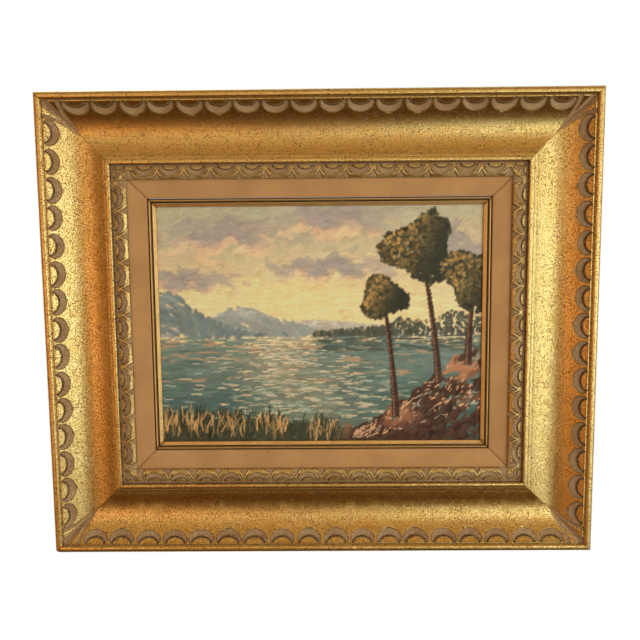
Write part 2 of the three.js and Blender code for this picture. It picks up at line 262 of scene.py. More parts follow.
def ringed_mesh(name, rings, turned=False):
    """A closed mesh through a stack of rings of points, with a flat face across the first ring and
    across the last. turned reverses every face."""
    rows, around = rings.shape[:2]
    corner_row, corner_column = grid_cells(rows - 1, around)
    quads = corner_row * around + corner_column % around
    ends = np.stack([np.arange(around)[::-1], (rows - 1) * around + np.arange(around)])
    if turned:
        quads, ends = quads[:, [0, 3, 2, 1]], ends[:, ::-1]
    return made_mesh(name, rings, quads, np.ones(len(quads), bool), ends.tolist())


# ------------------------------------------------------------------ the moulding's section


def arc(count, start, end, centre, half_width, rise):
    """Points on an ellipse from one angle to another, in degrees; 0 looks inward and 90 looks up."""
    angle = np.radians(np.linspace(start, end, count))
    return np.stack([centre[0] + half_width * np.cos(angle), centre[1] + rise * np.sin(angle)], axis=-1)


def stretch(count, start, end):
    """Evenly spaced points from start to end, without end."""
    return np.linspace(start, end, count, endpoint=False)


def moulding_section():
    """The moulding's outline as (inward, up), from the lip's foot over the face to the inner edge,
    then under the ledge and along the back. Returns it with the number of rows on the face."""
    slope = stretch(24, (RIDGE_IN + 0.6, RIDGE_UP - 0.7), (COVE_START_IN, 38.5))
    cove_in = np.linspace(COVE_START_IN, COVE_END_IN, 20)
    cove = np.stack([cove_in, COVE_LOW_UP + (cove_in - COVE_LOW_IN) ** 2 / COVE_CURVE], axis=-1)
    outer = np.linspace(BAND_IN, BAND_CREST_IN, 10, endpoint=False)
    outer_share = (outer - BAND_IN) / (BAND_CREST_IN - BAND_IN)
    outer_up = STRIP_UP + (BAND_CREST_UP - STRIP_UP) * np.sin(np.pi / 2 * outer_share)
    inner = np.linspace(BAND_CREST_IN, EDGE_IN - 0.4, 14)
    inner_up = EDGE_UP + (BAND_CREST_UP - EDGE_UP) * np.sqrt(
        1 - ((inner - BAND_CREST_IN) / (EDGE_IN - BAND_CREST_IN)) ** 2)
    face = np.concatenate([
        arc(9, 180, 90, (LIP_IN, LIP_UP - LIP_DROP), LIP_IN, LIP_DROP),
        [(5.6, 52.0), (6.6, 51.95), (7.5, 51.7), (8.2, 51.1), (8.9, 50.2), (9.5, 49.3), (GROOVE_IN, 48.95)],
        [(10.3, 49.05), (10.9, 49.3), (RIDGE_IN, RIDGE_UP), (12.0, 49.1)],
        slope,
        cove,
        [(73.2, 36.85), (74.2, 37.4), (75.4, 38.0), (76.6, 38.5), (77.4, 38.75), (FILLET_QUIRK_IN, 38.7)],
        [(78.2, 38.95), (79.2, 39.4), (80.3, 39.65), (81.4, 39.75), (82.4, 39.7), (83.2, 39.45)],
        [(83.7, 38.9), (84.0, 37.6), (84.15, 35.9), (STRIP_IN, STRIP_UP), (85.2, STRIP_UP - 0.05)],
        np.stack([outer, outer_up], axis=-1),
        np.stack([inner, inner_up], axis=-1),
        [(EDGE_IN - 0.1, EDGE_UP + 0.5), (EDGE_IN, EDGE_UP - 0.3), (EDGE_IN - 0.3, LEDGE_UP)],
    ])
    behind = [
        (REBATE_IN, LEDGE_UP), (REBATE_IN, 0.7), (REBATE_IN - 0.7, 0),
        (BACK_IN + 0.7, 0), (BACK_IN, 0.7), (1.7, 39.6), (1.1, 41.6), (0.2, 43.2),
    ]
    return np.concatenate([face, behind]), len(face)


# ------------------------------------------------------------------ the carving


def evenly(count, pitch):
    """Middles of count units at one pitch, about the rail's middle."""
    return (np.arange(count) - (count - 1) / 2) * pitch


def nearest_unit(along, middles):
    """For each place, which unit is nearest and how far along it lies from that unit's middle."""
    unit = np.abs(along[..., None] - middles).argmin(axis=-1)
    return unit, along - middles[unit]


def carve_crescents(side, along, inward, rng):
    """The row of crescents on the slope. Each lies inside an oval, rounder towards the picture, and
    outside the island, a half oval standing on the ridge. Its floor falls from the oval's rim to
    the island's steep wall, with the gouge's marks running round it; its horns nick the ridge."""
    count = CRESCENT_COUNT[side]
    middles = evenly(count, CRESCENT_PITCH) + rng.uniform(-0.7, 0.7, count)
    unit, x = nearest_unit(along, middles)
    wide = rng.uniform(0.95, 1.03, count)[unit]
    long = rng.uniform(0.94, 1.05, count)[unit]
    lean = rng.uniform(-0.10, 0.10, count)[unit]
    y = 11 + (inward - 11) / long
    x = (x + lean * (y - 16)) / wide
    oval_half, oval_middle, oval_outward, oval_inward = 15.5, 15.6, 6.8, 10.8
    island_half, island_foot, island_reach = 11.4, 10.8, 7.1
    oval = np.hypot(x / oval_half, (y - oval_middle) / np.where(y < oval_middle, oval_outward, oval_inward))
    island = np.hypot(x / island_half, (y - island_foot) / island_reach)
    from_rim = (1 - oval) * 12.5
    from_island = (island - 1) * 9
    floor = 0.35 * blend_step(0, 0.5, from_rim) + 0.30 * from_rim
    depth = np.clip(np.minimum(floor, 2.2 * from_island), 0, 2.9)
    marks = 0.10 * np.sin(from_rim * 3.6 + 2 * drift(along * 0.08, inward * 0.1, 14))
    marks = marks * blend_step(0.6, 1.2, depth)
    inside = blend_step(GROOVE_IN - 0.2, GROOVE_IN + 0.4, inward)
    # Painted shade: a dark line just inside the oval's rim and a darker band at the foot of the island's
    # wall.
    outline = bell(from_rim, 0.20, 0.50) * (from_island > 0)
    shadow = bell(from_island, 0.4, 1.1) * (from_rim > 0)
    return (depth + marks) * inside, inside * np.clip(0.9 * outline + 0.9 * shadow, 0, 1)


def carve_scallops(side, along, inward, rng):
    """The band's units. In each a gouge in the shape of a U, ringed with tool marks, lies round a
    small island at the strip; outside a raised rim a thin cut parts it from the fork between two
    units, and a three-cornered notch with a dart in it opens from the fork to the inner edge.
    Returns the depth, the share of matt paint and the share of painted shade."""
    count = SCALLOP_COUNT[side]
    corner = side_length(side) / 2 - HALF_SCALLOP_ALONG
    middles = evenly(count, SCALLOP_PITCH[side]) + rng.uniform(-0.9, 0.9, count)
    middles = np.concatenate([[-corner], middles, [corner]])
    size = np.concatenate([[0.62], rng.uniform(0.94, 1.05, count), [0.62]])
    unit, x = nearest_unit(along, middles)
    x = x / size[unit]
    y = inward - BAND_IN - 0.8 + rng.uniform(-0.4, 0.4, len(middles))[unit]
    y = y / np.clip(size[unit], 0.75, 1)
    gouge_half, gouge_reach = 11.9, 11.3
    island_half, island_reach = 7.4, 3.8
    gouge = np.hypot(x / gouge_half, y / gouge_reach)
    island = np.hypot(x / island_half, y / island_reach)
    on_band = blend_step(BAND_IN - 0.2, BAND_IN + 0.6, inward)
    on_band = on_band * blend_step(EDGE_IN + 0.1, EDGE_IN - 0.9, inward)
    from_rim = (1 - gouge) * 10.5
    from_island = (island - 1) * 5
    floor = 0.3 * blend_step(0, 0.4, from_rim) + 0.30 * from_rim
    depth = np.clip(np.minimum(floor, 1.8 * from_island), 0, 2.0)
    marks = 0.20 * np.sin(from_rim * 2.6) * blend_step(0.4, 0.9, depth)
    rim = bell(from_rim, -0.7, 0.55) * blend_step(-1, 2, y)
    parting = bell(from_rim, -2.0, 0.75) * blend_step(1.5, 4, y) * blend_step(11.5, 9, y)
    notch_tip, half_pitch = 5.6, 16.05
    half_notch = np.clip((y - notch_tip) * 0.52, 0, 4.9)
    to_side = half_pitch - np.abs(x)
    notch = blend_step(-0.1, 1.1, half_notch - to_side) * (y > notch_tip) * (from_rim < -1.0)
    dart = bell(to_side, 0, 0.8) * blend_step(7.5, 10, y)
    depth = depth + marks - 0.30 * rim + 0.45 * parting + 1.5 * notch * (1 - 0.45 * dart)
    paint = np.maximum(blend_step(0.15, 0.5, depth), 0.9 * notch)
    # Painted shade: darker at the island's wall, in the parting cut, just inside the gouge's rim and along
    # the notch's sides.
    shade = 0.9 * bell(from_island, 0.5, 0.95) * (from_rim > 0) + parting
    shade = shade + 0.8 * bell(from_rim, 0.1, 0.55) * (from_island > 0)
    shade = shade + 0.55 * bell(half_notch - to_side, 0.3, 0.6) * (y > notch_tip) * (from_rim < -0.6)
    return depth * on_band, paint * on_band, np.clip(shade, 0, 1) * on_band


def curve_points(start, bend, end, count):
    """Points on the curve (1-s)^2 start + 2s(1-s) bend + s^2 end."""
    s = np.linspace(0, 1, count)[:, None]
    return (1 - s) ** 2 * np.array(start) + 2 * s * (1 - s) * np.array(bend) + s ** 2 * np.array(end)


def from_curve(corner_along, inward, line):
    """Distance of each place to the nearest point of a line, and that point's share along it."""
    distance = np.hypot(corner_along[..., None] - line[:, 0], inward[..., None] - line[:, 1])
    nearest = distance.argmin(axis=-1)
    return distance.min(axis=-1), nearest / (len(line) - 1)


def carve_leaf(corner_along, inward):
    """The corner leaf, in (distance along from the frame's corner, inward): a wide gouge on the
    mitre that narrows to a tip, and a curved double line from the groove to the same tip."""
    vein, share = from_curve(corner_along, inward, curve_points((13, 13), (30, 30), (50, 50), 48))
    half = 4.4 * (1 - share) ** 0.8 + 0.5
    vein_depth = np.clip(1 - vein / half, 0, 1) ** 0.7 * (2.0 * (1 - share) + 0.5)
    side, share = from_curve(corner_along, inward, curve_points((28, 8.6), (29.5, 26), (47, 44), 48))
    half = 2.3 * (1 - share) + 0.6
    double = bell(side, half * 0.55, 0.5) + 0.55 * np.clip(1 - side / half, 0, 1)
    side_depth = double * (1.3 * (1 - share) + 0.3) * (side < half + 1.2)
    return np.maximum(vein_depth, side_depth)


def carve_moulding(side, along, inward, rng):
    """Every cut of one rail: how deep it goes, how much matt paint lies there, how much dark wax and
    painted shade.
    """
    crescents, crescent_wax = carve_crescents(side, along, inward, rng)
    scallops, scallop_paint, scallop_wax = carve_scallops(side, along, inward, rng)
    leaf = np.zeros_like(along)
    near_corner = (np.abs(along) > side_length(side) / 2 - LEAF_REACH) & (inward > 8) & (inward < 56)
    corner_along = side_length(side) / 2 - np.abs(along[near_corner])
    leaf[near_corner] = carve_leaf(corner_along, inward[near_corner])
    outer_cuts = np.maximum(crescents, leaf)
    rough = 0.14 * drift(along * 0.7, inward * 0.7, 11) + 0.08 * drift(along * 1.6, inward * 1.6, 12)
    strip = blend_step(STRIP_IN - 0.5, STRIP_IN, inward) * blend_step(BAND_IN + 1.2, BAND_IN + 0.2, inward)
    wash = (0.34 + 0.25 * drift(along * 0.12, inward * 0.2, 15)) * blend_step(BAND_IN, BAND_IN + 1, inward)
    paint = np.maximum.reduce([blend_step(0.08, 0.40, outer_cuts), scallop_paint, strip, wash])
    # Painted shade on the steep walls of the cuts, joined to the crescents' and the band's painted shade,
    # then the dark lines of wax and painted shade in the quirks.
    steep = np.abs(np.gradient(scallops + outer_cuts, axis=0))
    wax = np.maximum(np.maximum(crescent_wax, scallop_wax), 0.8 * blend_step(0.35, 1.1, steep))
    for line, half, share in WAX_AND_SHADE_LINES:
        wax = np.maximum(wax, share * bell(inward, line, half))
    return scallops + outer_cuts + rough * paint * (scallops + outer_cuts > 0.05), paint, wax


# ------------------------------------------------------------------ materials


class Recipe:
    """Builds one material's nodes: each method adds a node and returns its output."""

    def __init__(self, name, kind=bpy.data.materials):
        self.owner = kind.new(name)
        self.owner.use_nodes = True
        self.nodes = self.owner.node_tree.nodes
        self.links = self.owner.node_tree.links

    def feed(self, socket, value):
        if isinstance(value, bpy.types.NodeSocket):
            self.links.new(value, socket)
        else:
            socket.default_value = value

    def attribute(self, name, output="Fac"):
        node = self.nodes.new("ShaderNodeAttribute")
        node.attribute_name = name
        return node.outputs[output]

    def place(self, scale):
        """Object coordinates in millimetres, times a scale for each axis."""
        mapping = self.nodes.new("ShaderNodeMapping")
        mapping.inputs["Scale"].default_value = [s / MM for s in scale]
        self.links.new(self.nodes.new("ShaderNodeTexCoord").outputs["Object"], mapping.inputs["Vector"])
        return mapping.outputs["Vector"]

    def rail_place(self):
        """A place on a rail, in millimetres, apart from every place on the other sides' rails."""
        return self.joined(self.attribute("along"), self.attribute("inward"), self.attribute("side_seed"))

    def joined(self, x, y, z=0.0):
        node = self.nodes.new("ShaderNodeCombineXYZ")
        for socket, value in zip(node.inputs, (x, y, z)):
            self.feed(socket, value)
        return node.outputs["Vector"]

    def noise(self, vector, scale, detail=2.0, rough=0.5):
        node = self.nodes.new("ShaderNodeTexNoise")
        self.feed(node.inputs["Vector"], vector)
        for socket, value in (("Scale", scale), ("Detail", detail), ("Roughness", rough)):
            node.inputs[socket].default_value = value
        return node.outputs["Fac"]

    def cells(self, vector, scale):
        """Distance to the nearest of randomly placed points."""
        node = self.nodes.new("ShaderNodeTexVoronoi")
        self.feed(node.inputs["Vector"], vector)
        node.inputs["Scale"].default_value = scale
        return node.outputs["Distance"]

    def math(self, operation, first, second=0.0, clamp=False):
        node = self.nodes.new("ShaderNodeMath")
        node.operation = operation
        node.use_clamp = clamp
        self.feed(node.inputs[0], first)
        self.feed(node.inputs[1], second)
        return node.outputs["Value"]

    def times(self, first, second):
        return self.math("MULTIPLY", first, second)

    def plus(self, first, second):
        return self.math("ADD", first, second)

    def larger(self, first, second):
        return self.math("MAXIMUM", first, second)

    def threads(self, turns):
        """The weave of upright cloth: a sine along X times a sine along Z, both at turns a millimetre."""
        split = self.nodes.new("ShaderNodeSeparateXYZ")
        self.links.new(self.place((1, 1, 1)), split.inputs[0])
        warp, weft = (self.math("SINE", self.times(split.outputs[axis], turns)) for axis in (0, 2))
        return self.times(warp, weft)

    def ease(self, value, low, high, to_low=0.0, to_high=1.0, kind="SMOOTHSTEP"):
        """value mapped from low..high to to_low..to_high, smoothly unless kind says otherwise."""
        node = self.nodes.new("ShaderNodeMapRange")
        node.interpolation_type = kind
        self.feed(node.inputs["Value"], value)
        numbers = {"From Min": low, "From Max": high, "To Min": to_low, "To Max": to_high}
        for socket, number in numbers.items():
            node.inputs[socket].default_value = number
        return node.outputs["Result"]

    def mix(self, share, first, second):
        node = self.nodes.new("ShaderNodeMix")
        node.data_type = "RGBA"
        self.feed(node.inputs["Factor"], share)
        for socket, value in (("A", first), ("B", second)):
            target = [s for s in node.inputs if s.name == socket and s.type == "RGBA"][0]
            self.feed(target, value if isinstance(value, bpy.types.NodeSocket) else (*value, 1.0))
        return [s for s in node.outputs if s.type == "RGBA"][0]

    def bump(self, height, distance, strength=1.0):
        node = self.nodes.new("ShaderNodeBump")
        node.inputs["Distance"].default_value = distance * MM
        node.inputs["Strength"].default_value = strength
        self.feed(node.inputs["Height"], height)
        return node.outputs["Normal"]

    def surface(self, **sockets):
        for name, value in sockets.items():
            self.feed(self.nodes["Principled BSDF"].inputs[name.replace("_", " ")], value)
        return self.owner


def aged_gilding():
    """Burnished bronze-gold: a close dark grain, flyspecks, rubbed patches and streaks along the
    rail, wiping marks across it, matt taupe paint in the cuts, dark wax in the quirks, painted
    shade in the cuts and quirks, bare wood on the back."""
    r = Recipe("aged gilding")
    along, inward = r.attribute("along"), r.attribute("inward")
    on_rail = r.rail_place()
    drawn_out = r.joined(
        r.times(along, 0.010), r.times(inward, 0.60), r.attribute("side_seed"))
    cloud = r.noise(on_rail, 0.035, 3)
    grain = r.noise(on_rail, 0.95, 3, 0.8)
    fine = r.noise(on_rail, 2.2, 2, 0.6)
    streak = r.noise(drawn_out, 1.0, 3)

    gold = r.mix(r.ease(cloud, 0.35, 0.65), linear(0.99, 0.91, 0.64), linear(0.97, 0.88, 0.59))
    gold = r.mix(r.ease(grain, 0.44, 0.60), gold, linear(0.72, 0.53, 0.22))
    gold = r.mix(r.ease(streak, 0.55, 0.70, 0.0, 0.40), gold, linear(0.74, 0.53, 0.22))
    dots = r.ease(r.cells(on_rail, 0.52), 0.22, 0.38, 1.0, 0.0)
    dots = r.times(dots, r.ease(r.noise(on_rail, 0.06, 2), 0.36, 0.58, 0.45, 1.0))
    gold = r.mix(dots, gold, linear(0.34, 0.17, 0.04))
    specks = r.ease(r.cells(on_rail, 0.16), 0.08, 0.13, 1.0, 0.0)
    specks = r.times(specks, r.ease(r.noise(on_rail, 0.09, 1), 0.52, 0.58))
    gold = r.mix(specks, gold, linear(0.16, 0.08, 0.03))
    rubbed = r.times(r.ease(r.noise(on_rail, 0.09, 4, 0.7), 0.60, 0.70), r.ease(grain, 0.40, 0.60))
    gold = r.mix(r.times(rubbed, 0.85), gold, linear(0.60, 0.30, 0.14))
    gold = r.mix(r.attribute("wear"), gold, linear(0.24, 0.13, 0.06))

    patchy = r.ease(r.noise(on_rail, 0.45, 4, 0.7), 0.30, 0.55, 0.72, 1.0)
    cut = r.times(r.attribute("paint"), patchy)
    taupe = r.mix(r.ease(grain, 0.62, 0.40), linear(0.50, 0.39, 0.27), linear(0.78, 0.64, 0.48))
    taupe = r.mix(r.ease(cloud, 0.42, 0.60, 0.0, 0.35), taupe, linear(0.52, 0.34, 0.22))
    colour = r.mix(cut, gold, taupe)
    # Dark brown for the wax in the quirks and for the painted shade in the cuts and quirks.
    wax = r.times(r.attribute("wax"), r.ease(r.noise(on_rail, 0.30, 3), 0.28, 0.62, 0.62, 1.0))
    colour = r.mix(wax, colour, linear(0.20, 0.10, 0.03))
    raw = r.attribute("raw_wood")
    colour = r.mix(raw, colour, raw_wood_colour(r, on_rail))

    matt = r.larger(r.larger(cut, raw), r.times(wax, 0.9))
    matt = r.larger(matt, r.times(dots, 0.6))
    gloss = r.ease(grain, 0.3, 0.75, 0.20, 0.34)
    gloss = r.plus(gloss, r.times(r.attribute("wiped"), 0.22))
    roughness = r.larger(gloss, r.times(matt, 0.72))
    metallic = r.math("SUBTRACT", 1.0, matt, clamp=True)
    height = r.plus(r.times(grain, 0.75), r.times(fine, 0.18))
    height = r.math("SUBTRACT", height, r.times(dots, 0.4))
    return r.surface(
        Base_Color=colour, Metallic=metallic, Roughness=roughness,
        Normal=r.bump(height, 0.26), Specular_IOR_Level=0.2,
    )


def raw_wood_colour(r, on_rail):
    """Pale softwood: long soft rings with fine dark pores along the grain."""
    rings = r.noise(r.joined(r.times(r.attribute("along"), 0.01), r.attribute("inward")), 0.35, 3)
    pores = r.noise(r.joined(r.times(r.attribute("along"), 0.08), r.attribute("inward")), 3.0, 2)
    wood = r.mix(r.ease(rings, 0.35, 0.65), linear(0.80, 0.66, 0.47), linear(0.66, 0.50, 0.32))
    wood = r.mix(r.ease(pores, 0.55, 0.70, 0.0, 0.5), wood, linear(0.47, 0.33, 0.20))
    return r.mix(r.ease(r.noise(on_rail, 0.02, 3), 0.45, 0.75, 0.0, 0.35), wood, linear(0.40, 0.30, 0.21))


def slip_gilding():
    """Smoother gold than the moulding's, with a few specks, and dark lines of painted shade at its outer
    edge and in its quirk.
    """
    r = Recipe("slip gilding")
    on_rail = r.rail_place()
    grain = r.noise(on_rail, 0.9, 4, 0.7)
    cloud = r.noise(on_rail, 0.06, 3)
    gold = r.mix(r.ease(cloud, 0.35, 0.65), linear(0.86, 0.72, 0.48), linear(0.92, 0.78, 0.53))
    gold = r.mix(r.ease(grain, 0.45, 0.70, 0.0, 0.6), gold, linear(0.62, 0.47, 0.27))
    # Painted shade: the dark lines at the slip's outer edge and in its quirk.
    wax = r.times(r.attribute("wax"), r.ease(cloud, 0.3, 0.6, 0.85, 1.0))
    colour = r.mix(wax, gold, linear(0.12, 0.05, 0.01))
    raw = r.attribute("raw_wood")
    colour = r.mix(raw, colour, raw_wood_colour(r, on_rail))
    matt = r.larger(raw, wax)
    return r.surface(
        Base_Color=colour,
        Metallic=r.math("SUBTRACT", 0.9, matt, clamp=True),
        Roughness=r.larger(r.ease(grain, 0.3, 0.7, 0.34, 0.5), r.times(matt, 0.7)),
        Specular_IOR_Level=0.15, Normal=r.bump(grain, 0.12),
    )


def liner_cloth():
    """Tan cloth drawn tight over wood: a fine weave, faint clouds and a few stains."""
    r = Recipe("liner cloth")
    along, inward = r.attribute("along"), r.attribute("inward")
    on_rail = r.rail_place()
    warp = r.math("SINE", r.times(along, 9.0))
    weft = r.math("SINE", r.times(inward, 9.0))
    weave = r.times(r.plus(warp, weft), 0.25)
    cloud = r.noise(on_rail, 0.02, 3)
    fluff = r.noise(on_rail, 0.9, 3, 0.7)
    cloth = r.mix(r.ease(cloud, 0.35, 0.65), linear(0.755, 0.565, 0.365), linear(0.80, 0.605, 0.40))
    cloth = r.mix(r.ease(fluff, 0.40, 0.70, 0.0, 0.35), cloth, linear(0.63, 0.48, 0.32))
    stains = r.ease(r.cells(on_rail, 0.035), 0.02, 0.05, 0.55, 0.0)
    cloth = r.mix(stains, cloth, linear(0.45, 0.30, 0.18))
    raw = r.attribute("raw_wood")
    colour = r.mix(raw, cloth, raw_wood_colour(r, on_rail))
    height = r.plus(weave, r.times(fluff, 0.6))
    return r.surface(
        Base_Color=colour, Roughness=0.88, Specular_IOR_Level=0.25,
        Sheen_Weight=0.05, Sheen_Roughness=0.5, Normal=r.bump(height, 0.10),
    )


def stretcher_wood():
    """Planed softwood."""
    r = Recipe("stretcher wood")
    on_rail = r.rail_place()
    pores = r.noise(r.joined(r.times(r.attribute("along"), 0.08), r.attribute("inward")), 2.5, 3)
    return r.surface(
        Base_Color=raw_wood_colour(r, on_rail), Roughness=r.ease(pores, 0.3, 0.7, 0.6, 0.8),
        Normal=r.bump(pores, 0.12),
    )


def bare_canvas():
    """Unbleached linen, one thread each 0.6 mm, seen on the picture's sides and back."""
    r = Recipe("bare canvas")
    weave = r.threads(10.5)
    slub = r.noise(r.place((0.03, 0.5, 1.4)), 1.0, 3)
    cloth = r.mix(r.ease(weave, -1.0, 1.0), linear(0.62, 0.54, 0.42), linear(0.76, 0.69, 0.56))
    cloth = r.mix(r.ease(slub, 0.50, 0.70, 0.0, 0.5), cloth, linear(0.52, 0.43, 0.31))
    aged = r.noise(r.place((0.012, 0.012, 0.012)), 1.0, 3)
    cloth = r.mix(r.ease(aged, 0.45, 0.75, 0.0, 0.4), cloth, linear(0.50, 0.38, 0.24))
    return r.surface(Base_Color=cloth, Roughness=0.92, Normal=r.bump(weave, 0.12, 0.7))


def oil_paint():
    """Oil paint: the strokes' own colours, bristle marks along each stroke, a soft varnish."""
    r = Recipe("oil paint")
    bristles = r.joined(
        r.times(r.attribute("stroke_along"), 0.10), r.times(r.attribute("stroke_across"), 1.9))
    marks = r.noise(bristles, 1.0, 3, 0.6)
    smear = r.noise(r.place((0.6, 1, 0.6)), 1.0, 4, 0.65)
    light, dark = r.attribute("paint", "Color"), r.attribute("paint_dark", "Color")
    colour = r.mix(r.ease(marks, 0.30, 0.70), dark, light)
    weave = r.times(r.threads(8.0), 0.18)
    height = r.plus(r.plus(marks, weave), r.times(smear, 0.35))
    return r.surface(
        Base_Color=colour, Roughness=r.ease(marks, 0.3, 0.7, 0.52, 0.36),
        Specular_IOR_Level=0.45, Normal=r.bump(height, 0.25),
    )


def plated_steel():
    """Thin yellow plating over steel, dulled and spotted."""
    r = Recipe("plated steel")
    spots = r.noise(r.place((0.5, 0.5, 0.5)), 1.0, 4, 0.7)
    metal = r.mix(r.ease(spots, 0.40, 0.68), linear(0.83, 0.75, 0.50), linear(0.52, 0.43, 0.27))
    return r.surface(
        Base_Color=metal, Metallic=1.0, Roughness=r.ease(spots, 0.3, 0.7, 0.28, 0.5),
        Normal=r.bump(spots, 0.05),
    )


# ------------------------------------------------------------------ rails

COLUMNS = {"top": 835, "bottom": 835, "left": 705, "right": 705}


def moulding_rail(side, material):
    """One carved rail: the section carried between the mitres, lowered by the carving's depth and
    by a slow unevenness of the gesso, drawn out along the rail."""
    seed = SIDES.index(side)
    rng = np.random.default_rng(40 + seed)
    section, face_rows = moulding_section()
    along = rail_along(side, section[:, 0], COLUMNS[side])
    inward = np.broadcast_to(section[:, :1], along.shape)
    depth, paint, wax = carve_moulding(side, along, inward, rng)
    row = np.arange(len(section))
    on_face = (row < face_rows - 2)[:, None]
    carved = on_face & (inward > GROOVE_IN - 0.6)
    waves = 0.05 * drift(along * 0.035, inward * 0.09, 21 + seed)
    waves = waves + 0.022 * drift(along * 0.10, inward * 0.22, 31 + seed)
    waves = waves + 0.035 * drift(along * 0.007, inward * 0.32, 35 + seed)
    knocks = dents(rng, side, along, inward)
    up = section[:, 1:] - np.where(carved, depth, 0)
    up = up + np.where(on_face, np.minimum(waves - 0.06, 0.0) - knocks, 0)
    points = round_corners(place_on_side(side, along, inward, up))
    lip_rows = 3  # the last rows, up the frame's outer side to the lip
    flat = row[face_rows - 1:-lip_rows]
    mesh = rail_mesh(f"gilt_rail_{side}", points, flat, row[face_rows:-lip_rows])
    raw = ((row >= face_rows) & (row <= face_rows + 3))[:, None]
    wipes = blend_step(0.10, 0.75, drift(along * 0.16, inward * 0.018 + along * 0.004, 71 + seed))
    wipes = wipes * bell(inward, 50, 9) * (1.0 if side == "bottom" else 0.35)
    set_numbers(
        mesh, along=along, inward=inward + np.where(on_face, 0, section[:, 1:] + 7),
        side_seed=np.full(along.shape, 37.0 * seed), paint=np.where(carved, paint, 0),
        wax=np.where(carved, np.clip(wax, 0, 1), 0), wiped=np.where(on_face, wipes, 0),
        wear=worn_edge(along, section, 81 + seed), raw_wood=np.broadcast_to(raw, along.shape),
    )
    finish_piece(mesh, material, [f"frame_rail_{side}"])


def worn_edge(along, section, seed):
    """Where the gold is chipped off the lip's outer side: a few ragged patches."""
    up = section[:, 1:] + 0 * along
    ragged = drift(along * 0.06, up * 0.2, seed) + 0.5 * drift(along * 0.5, up * 0.6, seed)
    low_on_lip = blend_step(3.5, 0.8, section[:, :1]) * (up > LIP_CHIPS_UP)
    return blend_step(0.95, 1.05, ragged) * low_on_lip


def dents(rng, side, along, inward):
    """A few small knocks, round hollows up to half a millimetre deep, most of them on the lip."""
    depth = np.zeros_like(along)
    for _ in range(14):
        middle = rng.uniform(-0.48, 0.48) * side_length(side)
        across = rng.choice([rng.uniform(1, 7), rng.uniform(28, 70)], p=[0.75, 0.25])
        size = rng.uniform(0.7, 1.8)
        away = np.hypot((along - middle) / (1.6 * size), (inward - across) / size)
        depth += rng.uniform(0.15, 0.45) * bell(away, 0, 1)
    return depth


def plain_rail(name, side, section, columns, flat_rows, back_rows, wax_at, seed):
    """A rail with no carving. wax_at lists (inward, half width) of the dark lines where shade is painted.
    """
    section = np.array(section, float)
    along = rail_along(side, section[:, 0], columns)
    inward = np.broadcast_to(section[:, :1], along.shape)
    front = ~np.isin(np.arange(len(section)), back_rows)[:, None]
    waves = 0.05 * drift(along * 0.03, inward * 0.1, seed) * front
    points = place_on_side(side, along, inward, section[:, 1:] + np.minimum(waves, 0))
    mesh = rail_mesh(name, points, flat_rows, back_rows)
    wax = sum((np.exp(-((inward - line) / half) ** 4) for line, half in wax_at), np.zeros_like(along))
    set_numbers(
        mesh, along=along, inward=inward + np.where(front, 0, section[:, 1:] + 5),
        side_seed=np.full(along.shape, 23.0 * SIDES.index(side)), wax=np.clip(wax, 0, 1) * front,
        raw_wood=np.broadcast_to(~front, along.shape),
    )
    return mesh


def liner_rail(side, material):
    """A cloth-covered strip: a straight slope down to the picture, its inner edge rolled over."""
    start, edge, back, _ = reach_of("liner_top")
    section = np.concatenate([
        [(start, 30.2), (start + 0.5, 30.4)],
        np.linspace((EDGE_IN, 30.36), (edge - 1.6, 27.05), 14),
        arc(6, 80, 0, (edge - 1.3, 25.7), 1.3, 1.25),
        [(edge, back + 0.6), (edge - 0.6, back), (start + 0.6, back), (start, back + 0.6)],
    ])
    hidden = np.arange(len(section) - 4, len(section))
    mesh = plain_rail(f"cloth_liner_{side}", side, section, 90, hidden[:-1], hidden, [], 51)
    finish_piece(mesh, material, [f"liner_{side}"])


def slip_rail(side, material):
    """The gilt slip: a small bead, a quirk, and a slope down to the sight edge."""
    start, sight, back, bead_up = reach_of("slip_top")
    leg_in, rebate_up = start + 4, 20.9
    section = np.concatenate([
        [(start, bead_up - 3.4), (start + 0.2, bead_up - 2.9), (start + 1.1, bead_up - 2.6)],
        arc(8, 172, 10, (start + 2.2, bead_up - 1.0), 0.95, 1.0),
        [(start + 3.4, bead_up - 2.3), (start + 3.8, bead_up - 3.0), (start + 4.6, bead_up - 3.1)],
        [(start + 5.1, bead_up - 2.8), (start + 5.3, bead_up - 2.0)],
        np.linspace((start + 5.6, bead_up - 1.75), (sight - 1.0, rebate_up + 2.75), 8),
        arc(4, 75, 0, (sight - 0.8, rebate_up + 1.9), 0.8, 0.8),
        [(sight, rebate_up + 0.3), (sight - 0.3, rebate_up), (leg_in, rebate_up), (leg_in, back + 0.4)],
        [(leg_in - 0.4, back), (start + 0.4, back), (start, back + 0.4)],
    ])
    hidden = np.arange(len(section) - 6, len(section))
    # Painted shade: a dark line in the quirk beside the bead and one at the outer edge, by the liner.
    lines = [(start + 4.4, 1.15), (start + 0.45, 0.95)]
    mesh = plain_rail(f"gilt_slip_{side}", side, section, 90, hidden, hidden, lines, 52)
    finish_piece(mesh, material, [f"slip_{side}"])


def stretcher_bar(side, material):
    """A planed bar with eased edges, bevelled away from the canvas towards the middle."""
    start, edge, back, front = reach_of("stretcher_bar_top")
    section = [
        (start, front - 0.5), (start + 0.5, front), (start + 6, front), (edge - 0.8, front - 1.9),
        (edge, front - 2.8), (edge, back + 0.9), (edge - 0.9, back), (start + 0.9, back),
        (start, back + 0.9),
    ]
    mesh = plain_rail(f"stretcher_{side}", side, section, 40, list(range(9)), [], [], 53)
    finish_piece(mesh, material, [f"stretcher_bar_{side}"])


# ------------------------------------------------------------------ the painting

PAINT_COLUMNS = 368
PAINT_ROWS = 266


